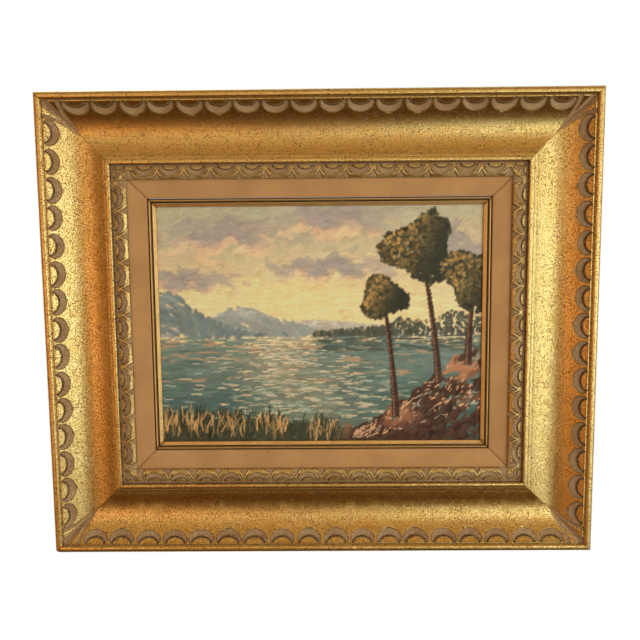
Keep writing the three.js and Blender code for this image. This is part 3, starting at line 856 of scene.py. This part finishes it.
class Picture:
    """The paint on the canvas as arrays over a grid: colour, thickness, and each stroke's own
    coordinates. Places are in shares of the picture, from its lower left corner."""

    def __init__(self, width, height, seed):
        self.width, self.height = width, height
        self.rng = np.random.default_rng(seed)
        self.span, self.about = self.rng.uniform, self.rng.normal
        self.x = np.linspace(0, width, PAINT_COLUMNS + 1)
        self.z = np.linspace(0, height, PAINT_ROWS + 1)
        shape = (PAINT_ROWS + 1, PAINT_COLUMNS + 1)
        self.colour = np.zeros((*shape, 3)) + (0.62, 0.55, 0.45)
        self.thick = np.zeros(shape)
        self.along = np.zeros(shape)
        self.across = np.zeros(shape)

    def stroke(self, u, v, length, width, angle, paint, load=0.25, cover=0.95, bow=0.0):
        """One stroke: full across its width, fraying at its ends by the bristles' random lengths,
        with the paint pushed up along its two edges. bow bends it, in parts of its length."""
        x, z = u * self.width, v * self.height
        reach = length / 2 + width
        columns = slice(*np.searchsorted(self.x, (x - reach, x + reach)))
        rows = slice(*np.searchsorted(self.z, (z - reach, z + reach)))
        if columns.start == columns.stop or rows.start == rows.stop:
            return
        dx = self.x[columns][None, :] - x
        dz = self.z[rows][:, None] - z
        s = dx * np.cos(angle) + dz * np.sin(angle)
        t = dz * np.cos(angle) - dx * np.sin(angle) - bow * s * s / length
        bristles = self.span(0, 1, 9)
        lane = np.clip((t / width + 0.5) * 8, 0, 7.999)
        first = lane.astype(int)
        bristle = bristles[first] * (1 - lane + first) + bristles[first + 1] * (lane - first)
        body = blend_step(1.12, 0.78, np.abs(t) / (width / 2))
        body = body * blend_step(1.1, 0.72, np.abs(s) / (length / 2) + 0.35 * bristle)
        share = cover * body
        tint = np.asarray(paint) * (0.95 + 0.10 * bristle[..., None])
        here = (rows, columns)
        self.colour[here] = self.colour[here] * (1 - share[..., None]) + tint * share[..., None]
        ridge = bell(np.abs(t) / (width / 2), 0.85, 0.22)
        pile = load * (0.55 + 0.5 * bristle + 0.5 * ridge)
        self.thick[here] = self.thick[here] * (1 - 0.75 * body) + pile * body
        own = body > 0.45
        self.along[here] = np.where(own, s + 40 * u, self.along[here])
        self.across[here] = np.where(own, t + 50 * v, self.across[here])


HORIZON = 0.46
WARMTH = (1.05, 1.0, 0.96)  # the varnish's tint


def shade_of(p, paint, value=0.02, hue=0.008):
    """A paint mixed a little lighter or darker, and a touch warmer or cooler."""
    return np.array(paint) + p.about(0, value) + p.about(0, hue, 3)


def between(share, first, second):
    return (1 - share) * np.array(first) + share * np.array(second)


def evening_sky(p):
    """Grey-green above, cream and peach low down, laid in wide strokes and blended with smaller
    ones; then long banks of cloud, grey-blue with a lit lower edge."""
    for count, length, width, cover in ((620, 46, 15, 0.9), (1300, 26, 8, 0.55)):
        for _ in range(count):
            u, v = p.span(-0.02, 1.02), p.span(HORIZON - 0.01, 1.02)
            high = blend_step(0.52, 1.0, v + 0.06 * np.sin(5 * u))
            glow = bell(u, 0.42, 0.36) * bell(v, 0.58, 0.17)
            paint = between(high, (0.84, 0.76, 0.60), (0.66, 0.66, 0.57))
            paint = between(0.8 * glow, paint, (0.95, 0.83, 0.60))
            p.stroke(u, v, length * p.span(0.6, 1.3), width * p.span(0.7, 1.3),
                     p.about(0.1, 0.4), shade_of(p, paint), 0.10, cover, p.about(0, 0.15))
    banks = ((0.20, 0.87, 0.19, 0.065), (0.55, 0.93, 0.20, 0.06), (0.86, 0.80, 0.20, 0.07),
             (0.52, 0.73, 0.15, 0.03), (0.08, 0.68, 0.12, 0.028))
    for middle_u, middle_v, half_u, half_v in banks:
        for step in range(170):
            a, b = p.about(0, 0.5, 2)
            u, v = middle_u + a * half_u, middle_v + b * half_v + 0.018 * np.sin(9 * a)
            paint = between(blend_step(-0.1, -1.0, b), (0.60, 0.58, 0.56), (0.92, 0.76, 0.60))
            paint = between(0.5 * blend_step(0.3, 1.1, abs(a)), paint, (0.74, 0.72, 0.62))
            size = 1.5 - 0.7 * step / 170
            p.stroke(u, v, p.span(12, 26) * size, p.span(4.5, 8) * size, p.about(0.08, 0.35),
                     shade_of(p, paint, 0.025), 0.16, 0.62, p.about(0, 0.25))
    for _ in range(110):
        u, v = p.span(0.0, 0.95), p.about(0.575, 0.04)
        p.stroke(u, v, p.span(14, 40), p.span(1.8, 4.0), p.about(0.03, 0.07),
                 shade_of(p, (0.98, 0.87, 0.66)), 0.25, 0.6)


def far_hills(p):
    """Ranges behind the lake, paler the farther they are, falling from the left."""
    ranges = (
        (0.52, 0.055, 0.20, (0.66, 0.66, 0.62)),
        (0.26, 0.105, 0.17, (0.55, 0.59, 0.59)),
        (0.02, 0.165, 0.15, (0.42, 0.49, 0.50)),
    )
    for middle, rise, spread, paint in ranges:
        for _ in range(380):
            u = p.about(middle, spread * 0.75)
            top = HORIZON + rise * bell(u, middle, spread) * (1 + 0.10 * np.sin(31 * u))
            v = p.span(HORIZON, max(top, HORIZON + 0.004))
            slope = -1.3 * (u - middle) / spread
            light = 0.10 * blend_step(0.4, 1.0, (v - HORIZON) / rise) * (p.span(0, 1) < 0.4)
            p.stroke(u, v, p.span(8, 20), p.span(3, 6), slope * rise / spread - 0.2,
                     shade_of(p, np.array(paint) + light), 0.14, 0.85, p.about(0, 0.1))


def still_water(p):
    """The lake: level strokes, wide and dark first, then lighter ripples, peach under the glow."""
    for count, scale, cover in ((520, 1.9, 0.95), (1500, 1.0, 0.75)):
        for _ in range(count):
            near = p.span(0, 1) ** 0.8
            v = HORIZON - 0.008 - near * (HORIZON + 0.01)
            u = p.span(-0.02, 1.02)
            glow = bell(u, 0.42 + 0.05 * np.sin(13 * v), 0.08 + 0.14 * near)
            paint = between(0.25 + 0.75 * near, (0.50, 0.57, 0.54), (0.19, 0.32, 0.32))
            paint = between(0.45 * glow * (1 - 0.5 * near), paint, (0.82, 0.72, 0.56))
            p.stroke(u, v, (p.span(12, 22) + 24 * near) * scale, (2.0 + 3.6 * near) * scale,
                     p.about(0, 0.03 + 0.07 * near), shade_of(p, paint, 0.028), 0.14 + 0.10 * near, cover,
                     p.about(0, 0.10))
    for _ in range(520):
        near = p.span(0, 1) ** 1.2
        v = HORIZON - 0.008 - near * 0.42
        u = p.about(0.42 + 0.05 * np.sin(11 * v), 0.05 + 0.26 * near)
        warm = p.span(0, 1)
        paint = between(warm, (0.66, 0.74, 0.70), (0.96, 0.82, 0.65))
        paint = between(0.35 * near, paint, (0.35, 0.47, 0.46))
        p.stroke(u, v, p.span(6, 14) + 12 * near, 0.9 + 1.5 * near * p.span(0.4, 1.1),
                 p.about(0, 0.07), shade_of(p, paint, 0.03), 0.35, 0.8, p.about(0, 0.3))


def far_shore(p):
    """A low wooded shore on the right of the horizon, and its broken reflection."""
    for _ in range(460):
        u = p.span(0.48, 1.02)
        rise = (0.012 + 0.075 * blend_step(0.48, 0.95, u)) * (0.75 + 0.4 * np.sin(19 * u) ** 2)
        v = HORIZON + p.span(-0.06, 1) * rise
        lit = (p.span(0, 1) < 0.25) * blend_step(0.5, 1.0, (v - HORIZON) / rise)
        p.stroke(u, v, p.span(4, 9), p.span(2.5, 5), p.span(0.4, 2.6),
                 shade_of(p, between(lit, (0.28, 0.31, 0.27), (0.56, 0.50, 0.35)), 0.03), 0.22)
    for _ in range(170):
        u = p.span(0.50, 1.0)
        v = HORIZON - p.span(0.004, 0.07)
        p.stroke(u, v, p.span(10, 24), p.span(1.6, 3.2), p.about(0, 0.03),
                 shade_of(p, (0.26, 0.33, 0.31)), 0.14, 0.65)


def bank_top(u):
    """Height of the near bank: low at the left, rising to the right."""
    return 0.07 + 0.03 * np.sin(5 * u + 1) + 0.33 * blend_step(0.55, 1.0, u)


def near_bank(p):
    """Brown earth and stones on the right in slabs of light and shade, falling to dark grass."""
    for count, scale in ((420, 1.9), (900, 1.0)):
        for _ in range(count):
            u = p.span(-0.02, 1.02)
            top = bank_top(u)
            v = p.span(-0.01, 1) * top
            facet = np.sin(26 * u + 9 * v) + 0.7 * np.sin(41 * v - 12 * u)
            light = blend_step(0.1, 1.3, facet) * blend_step(0.15, 0.9, v / top)
            earth = between(light, (0.25, 0.16, 0.11), (0.66, 0.47, 0.33))
            right = blend_step(0.45, 0.68, u)
            paint = between(right, (0.21, 0.24, 0.17), earth)
            lean = p.about(0.75, 0.35) * right + p.about(1.45, 0.3) * (1 - right)
            p.stroke(u, v, p.span(8, 17) * scale, p.span(2.6, 5.5) * scale, lean,
                     shade_of(p, paint, 0.035), 0.28, 0.92, p.about(0, 0.2))
    for _ in range(150):
        u = p.span(0.60, 1.0)
        v = bank_top(u) * p.span(0.35, 1.0)
        paint = between(p.span(0, 1), (0.88, 0.68, 0.50), (0.56, 0.54, 0.50))
        p.stroke(u, v, p.span(4, 10), p.span(1.2, 2.6), p.about(0.6, 0.4), paint, 0.42, 0.85)


def reeds(p):
    """Thin bent strokes in clumps, dark first and then some that catch the light."""
    for lit_share, count in ((0.0, 420), (1.0, 170)):
        for _ in range(count):
            u = p.about(p.rng.choice([0.04, 0.12, 0.22, 0.35, 0.50]), 0.03)
            v = bank_top(u) * p.span(0.4, 1.05) + p.span(0, 0.05)
            lit = lit_share * p.span(0.3, 1)
            p.stroke(u, v, p.span(12, 27), p.span(1.0, 2.0), p.about(1.5, 0.2),
                     between(lit, (0.19, 0.21, 0.14), (0.86, 0.69, 0.46)), 0.3, 0.85, p.about(0, 0.5))


def trees(p):
    """A group of trees on the bank: bent trunks, then the leaves, dark masses under lit dabs."""
    group = ((0.86, 0.80, 0.84, 0.10), (0.95, 0.97, 0.72, 0.09), (0.73, 0.69, 0.64, 0.06))
    for foot_u, tip_u, tip_v, crown in group:
        foot_v = bank_top(foot_u) - 0.03
        for share in np.linspace(0, 1, 34):
            u = foot_u + (tip_u - foot_u) * share ** 1.4
            v = foot_v + (tip_v - foot_v) * share
            wide = 7.5 * (1 - share) + 2
            p.stroke(u, v, 12, wide, 1.6 + 0.2 * np.sin(7 * share), shade_of(p, (0.22, 0.15, 0.11)), 0.35)
            p.stroke(u - 0.005, v, 9, wide * 0.3, 1.6, shade_of(p, (0.66, 0.47, 0.33)), 0.4, 0.6)
        for count, low, high, size in ((260, 0.0, 0.15, 1.7), (330, 0.1, 0.8, 1.0), (70, 0.8, 1.0, 0.7)):
            for _ in range(count):
                turn, reach = p.span(0, 2 * np.pi), np.sqrt(p.span(0, 1))
                bulge = 1 + 0.25 * np.sin(3 * turn + 20 * foot_u)
                a, b = reach * bulge * np.cos(turn), reach * bulge * np.sin(turn)
                u, v = tip_u + a * crown, tip_v + b * crown * 1.25 - 0.03
                lit = blend_step(0.9, -0.9, a - 0.5 * b) * p.span(low, high)
                paint = between(lit, (0.15, 0.17, 0.12), (0.74, 0.60, 0.33))
                p.stroke(u, v, p.span(5, 10) * size, p.span(3, 5.5) * size, p.span(0, 3.1),
                         shade_of(p, paint, 0.02), 0.32, 0.85, p.about(0, 0.3))


def corner_marks(p):
    """A short row of dark dabs low on the right, where a painter signs; they spell nothing."""
    umber = (0.10, 0.06, 0.05)
    for k in range(7):
        p.stroke(0.80 + 0.019 * k, 0.065 + 0.006 * (k % 2), 5.0, 1.3, (1.25, 0.5, 2.1)[k % 3], umber, 0.2)
    p.stroke(0.86, 0.045, 34, 1.1, 0.03, umber, 0.15, 0.8, 0.05)


def paint_layer(material):
    """The paint as a thin closed slab on the canvas: its front is a grid raised by the strokes'
    thickness, its back lies flat on the cloth."""
    low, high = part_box("canvas")
    left, right = low.x / MM + 1.5, high.x / MM - 1.5
    bottom, top = low.z / MM + 1.5, high.z / MM - 1.5
    front = low.y / MM
    picture = Picture(right - left, top - bottom, 7)
    for layer in (evening_sky, far_hills, still_water, far_shore, near_bank, trees, reeds, corner_marks):
        layer(picture)

    x, z = np.meshgrid(left + picture.x, bottom + picture.z)
    relief = 0.12 + picture.thick
    edge = np.minimum(np.minimum(x - left, right - x), np.minimum(z - bottom, top - z))
    relief = relief * blend_step(0, 2.5, edge) + 0.06
    face = np.stack([x, front - relief, z], axis=-1)
    rows, columns = x.shape
    corner_row, corner_column = grid_cells(rows - 1, columns - 1)
    quads = corner_row * columns + corner_column
    rim = np.concatenate([
        np.arange(columns - 1),
        np.arange(rows - 1) * columns + columns - 1,
        (rows - 1) * columns + np.arange(columns - 1, 0, -1),
        np.arange(rows - 1, 0, -1) * columns,
    ])
    under = face.reshape(-1, 3)[rim].copy()
    under[:, 1] = front - 0.02
    lower = rows * columns + np.arange(len(rim))
    walls = np.stack([rim, lower, np.roll(lower, -1), np.roll(rim, -1)], axis=-1)
    points = np.concatenate([face.reshape(-1, 3), under])
    flat_faces = walls.tolist() + [lower[::-1].tolist()]
    mesh = made_mesh("paint_layer", points, quads, np.ones(len(quads), bool), flat_faces)

    share_across, share_up = corner_column / (columns - 1), corner_row / (rows - 1)
    uv = 0.01 + 0.98 * np.stack([share_across, share_up], axis=-1)
    rest = np.full((4 * len(walls) + len(rim), 2), 0.002)
    set_uv(mesh, np.concatenate([uv.reshape(-1, 2), rest]))

    def spread(values):
        """Values for the face's vertices and then for the rim's lower copies."""
        flat = values.reshape(rows * columns, -1)
        return np.concatenate([flat, flat[rim]])

    set_numbers(mesh, stroke_along=spread(picture.along), stroke_across=spread(picture.across))
    for name, shade in (("paint", 1.22), ("paint_dark", 1.06)):
        tint = np.clip(spread(picture.colour * shade * WARMTH), 0.02, 0.98)
        light = linear(*np.moveaxis(tint, -1, 0))
        layer = mesh.attributes.new(name, "FLOAT_COLOR", "POINT")
        rgba = np.concatenate([light, np.ones((1, light.shape[1]))]).T
        layer.data.foreach_set("color", np.ascontiguousarray(rgba, np.float32).ravel())
    finish_piece(mesh, material, ["canvas"])


def canvas_cloth(material):
    """The cloth: a closed sheet over the stretcher, its section carried round a rectangle: the
    face's edge, a rounded turn, the side, the turn to the back, the border and its raw edge, and
    the same again inside. The flat middles of the face and of its back close it."""
    low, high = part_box("canvas")
    half_width, half_height = (high.x - low.x) / 2 / MM, (high.z - low.z) / 2 / MM
    middle_z = (high.z + low.z) / 2 / MM
    front, back = low.y / MM, high.y / MM
    thick, fold, turn = 0.8, 13.0, 1.4
    bend = np.radians(np.linspace(90, 0, 5))
    outer = [(turn + 1.5, front)]
    outer += [(turn - turn * np.cos(a), front + turn - turn * np.sin(a)) for a in bend]
    outer += [(turn - turn * np.cos(a), back - turn + turn * np.sin(a)) for a in bend[::-1]]
    outer += [(fold - 0.3, back), (fold, back - thick / 2), (fold - 0.3, back - thick)]
    inner = [(turn, back - thick), (thick, back - turn), (thick, front + turn), (turn, front + thick),
             (turn + 1.5, front + thick)]
    section = np.array(outer + inner)
    border_rows = range(10, 16)  # from the turn to the back as far as the raw edge's inside
    count = 40
    share = np.linspace(-1, 1, count, endpoint=False)
    loops = []
    for k, (inset, y) in enumerate(section):
        w, h = half_width - inset, half_height - inset
        x = np.concatenate([share * w, np.full(count, w), -share * w, np.full(count, -w)])
        z = np.concatenate([np.full(count, h), -share * h, np.full(count, -h), share * h])
        frayed = 0.5 * drift(x * 0.12, z * 0.12, 61) + 0.25 * drift(x * 0.6, z * 0.6, 62)
        border = blend_step(turn + 1, fold, inset) * (k in border_rows)
        x = x + np.sign(x) * (np.abs(x) > w - 0.01) * frayed * border
        z = z + np.sign(z) * (np.abs(z) > h - 0.01) * frayed * border
        loops.append(np.stack([x, np.full(4 * count, y), z + middle_z], axis=-1))
    finish_piece(ringed_mesh("canvas_cloth", np.array(loops)), material, ["canvas"])


# ------------------------------------------------------------------ hanger


def hanger_nail(name, material):
    """A round nail turned from its outline: a pointed shank under a low domed head."""
    low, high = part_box(name)
    x, z = (low.x + high.x) / 2 / MM, (low.z + high.z) / 2 / MM
    tip, crown = low.y / MM, high.y / MM
    head, shank = (high.x - low.x) / 2 / MM, 0.8
    dome = np.radians(np.linspace(0, 80, 5))
    outline = np.array(
        [(0.12, tip), (shank, tip + 2), (shank, crown - 0.8), (head, crown - 0.8)]
        + [(head * np.cos(a), crown - 0.6 + 0.6 * np.sin(a)) for a in dome])
    around = 24
    angle = np.linspace(0, 2 * np.pi, around, endpoint=False)
    radius, height = outline[:, :1], outline[:, 1:]
    grid = np.broadcast_arrays(x + radius * np.cos(angle), height, z + radius * np.sin(angle))
    points = np.stack(grid, axis=-1)
    finish_piece(ringed_mesh("domed_" + name, points, turned=True), material, [name])


# ------------------------------------------------------------------ the object

gilding = aged_gilding()
small_gilding = slip_gilding()
cloth = liner_cloth()
softwood = stretcher_wood()
steel = plated_steel()
for side in SIDES:
    moulding_rail(side, gilding)
    liner_rail(side, cloth)
    slip_rail(side, small_gilding)
    stretcher_bar(side, softwood)
canvas_cloth(bare_canvas())
paint_layer(oil_paint())
for nail in ("hanger_nail_left", "hanger_nail_right"):
    hanger_nail(nail, steel)
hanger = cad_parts["sawtooth_hanger"]
hanger.data.materials.clear()
hanger.data.materials.append(steel)

# ------------------------------------------------------------------ stage, light and camera


def flat_sheet(name, corners, material):
    """A sheet with four corners, given in metres."""
    mesh = bpy.data.meshes.new(name)
    mesh.from_pydata(corners, [], [(0, 1, 2, 3)])
    mesh.materials.append(material)
    return placed(name, mesh)


def pale_floor():
    """A plain pale square far below the picture; polished metal doesn't mirror it."""
    half, level = 1.5, BOTTOM * MM - 1.1
    r = Recipe("pale floor")
    tone = r.noise(r.place((0.004, 0.004, 0.004)), 1.0, 2)
    pale = r.mix(r.ease(tone, 0.3, 0.7), linear(0.93, 0.93, 0.92), linear(0.96, 0.96, 0.95))
    corners = [(-half, -half, level), (half, -half, level), (half, half, level), (-half, half, level)]
    floor = flat_sheet("floor", corners, r.surface(Base_Color=pale, Roughness=0.8))
    floor.visible_glossy = False


def soft_panel(name, place, aim, size, brightness, colour, mirrored=True):
    """A large soft light panel of one brightness all over, facing aim. Sizes are in metres."""
    lamp = bpy.data.lights.new(name, "AREA")
    lamp.shape = "RECTANGLE"
    lamp.size, lamp.size_y = size
    lamp.energy = brightness * np.pi * size[0] * size[1]
    lamp.color = colour
    panel = placed(name, lamp)
    panel.location = place
    panel.rotation_mode = "QUATERNION"
    panel.rotation_quaternion = (Vector(place) - Vector(aim)).to_track_quat("Z", "Y")
    panel.visible_camera = False
    panel.visible_glossy = mirrored


def dark_card():
    """A dark card standing behind the camera, seen only in the gilding: it darkens the middle of
    every polished hollow."""
    left, right, foot, head, away = -0.42, 0.05, -1.7, -0.25, -1.56
    r = Recipe("dark card")
    tone = r.noise(r.place((0.01, 0.01, 0.01)), 1.0, 2)
    brown = r.mix(r.ease(tone, 0.3, 0.7), (0.09, 0.045, 0.018), (0.11, 0.055, 0.022))
    corners = [(left, away, foot), (right, away, foot), (right, away, head), (left, away, head)]
    card = flat_sheet("dark card", corners, r.surface(
        Base_Color=(0, 0, 0, 1), Roughness=1.0, Specular_IOR_Level=0.0,
        Emission_Strength=1.0, Emission_Color=brown))
    card.visible_camera = False
    card.visible_diffuse = False
    card.visible_shadow = False


def room_light():
    """The room round the picture: warm and middling above, dark brown below, pale behind the wall
    side. Seen directly it is plain white; on matt surfaces it counts for less than in polish."""
    r = Recipe("studio", bpy.data.worlds)
    bpy.context.scene.world = r.owner
    split = r.nodes.new("ShaderNodeSeparateXYZ")
    r.links.new(r.nodes.new("ShaderNodeTexCoord").outputs["Generated"], split.inputs[0])
    by_height = r.nodes.new("ShaderNodeValToRGB")
    stops = (
        (0.0, (0.06, 0.022, 0.004)), (0.10, (0.08, 0.030, 0.005)), (0.17, (0.12, 0.05, 0.013)),
        (0.25, (0.20, 0.095, 0.035)), (0.34, (0.32, 0.18, 0.08)), (0.43, (0.55, 0.38, 0.22)),
        (0.53, (0.78, 0.60, 0.40)), (0.63, (0.76, 0.56, 0.37)), (0.74, (0.60, 0.38, 0.19)),
        (0.86, (0.57, 0.35, 0.16)), (0.94, (0.42, 0.24, 0.10)), (1.0, (0.35, 0.20, 0.09)),
    )
    while len(by_height.color_ramp.elements) < len(stops):
        by_height.color_ramp.elements.new(0.5)
    for element, (position, colour) in zip(by_height.color_ramp.elements, stops):
        element.position = position
        element.color = (*colour, 1)
    r.feed(by_height.inputs["Fac"], r.ease(split.outputs[2], -1, 1, kind="LINEAR"))
    aside = r.ease(split.outputs[0], -0.45, -0.95, kind="LINEAR")
    behind = r.ease(split.outputs[1], 0.05, 0.6, kind="LINEAR")
    ray = r.nodes.new("ShaderNodeLightPath")
    room = r.mix(aside, by_height.outputs["Color"], (0.30, 0.115, 0.03))
    room = r.mix(behind, room, (0.75, 0.72, 0.68))
    room = r.mix(ray.outputs["Is Diffuse Ray"], room, (0.33, 0.30, 0.25))
    seen = r.mix(ray.outputs["Is Camera Ray"], room, (1.0, 1.0, 1.0))
    r.feed(r.nodes["Background"].inputs["Color"], seen)


def camera():
    """From 1.06 m in front, a little above the middle, looking down 7.5 degrees."""
    lens = bpy.data.cameras.new("camera")
    lens.lens = 48.0
    lens.sensor_width = 36
    view = placed("camera", lens)
    right = Vector((0.9999, 0.0110, -0.0088)).normalized()
    forward = Vector((-0.0125, 0.9912, -0.1312)).normalized()
    turn = Matrix((right, right.cross(forward), -forward)).transposed().to_4x4()
    eye = Vector((12.3, -1060.4, -96.1)) * MM
    view.matrix_world = Matrix.Translation(eye) @ turn
    bpy.context.scene.camera = view


MIDDLE = (0, 0, CENTRE * MM)
pale_floor()
dark_card()
soft_panel("window light", (1.38, -1.50, -0.46), (0, 0, -0.40), (2.6, 1.30), 1.30, (0.80, 0.98, 1.0))
soft_panel("warm light", (-1.05, -1.60, -0.47), (0, 0, -0.42), (1.5, 0.95), 0.66, (1.0, 0.36, 0.10))
soft_panel("upper fill", (1.5, -1.7, 0.75), MIDDLE, (1.3, 1.3), 3.9, (1.0, 0.90, 0.74), mirrored=False)
soft_panel("wall side fill", (-0.9, 1.5, 0.7), MIDDLE, (1.4, 1.4), 1.4, (1.0, 0.98, 0.95))
room_light()
camera()
bpy.context.scene.view_settings.view_transform = "Standard"
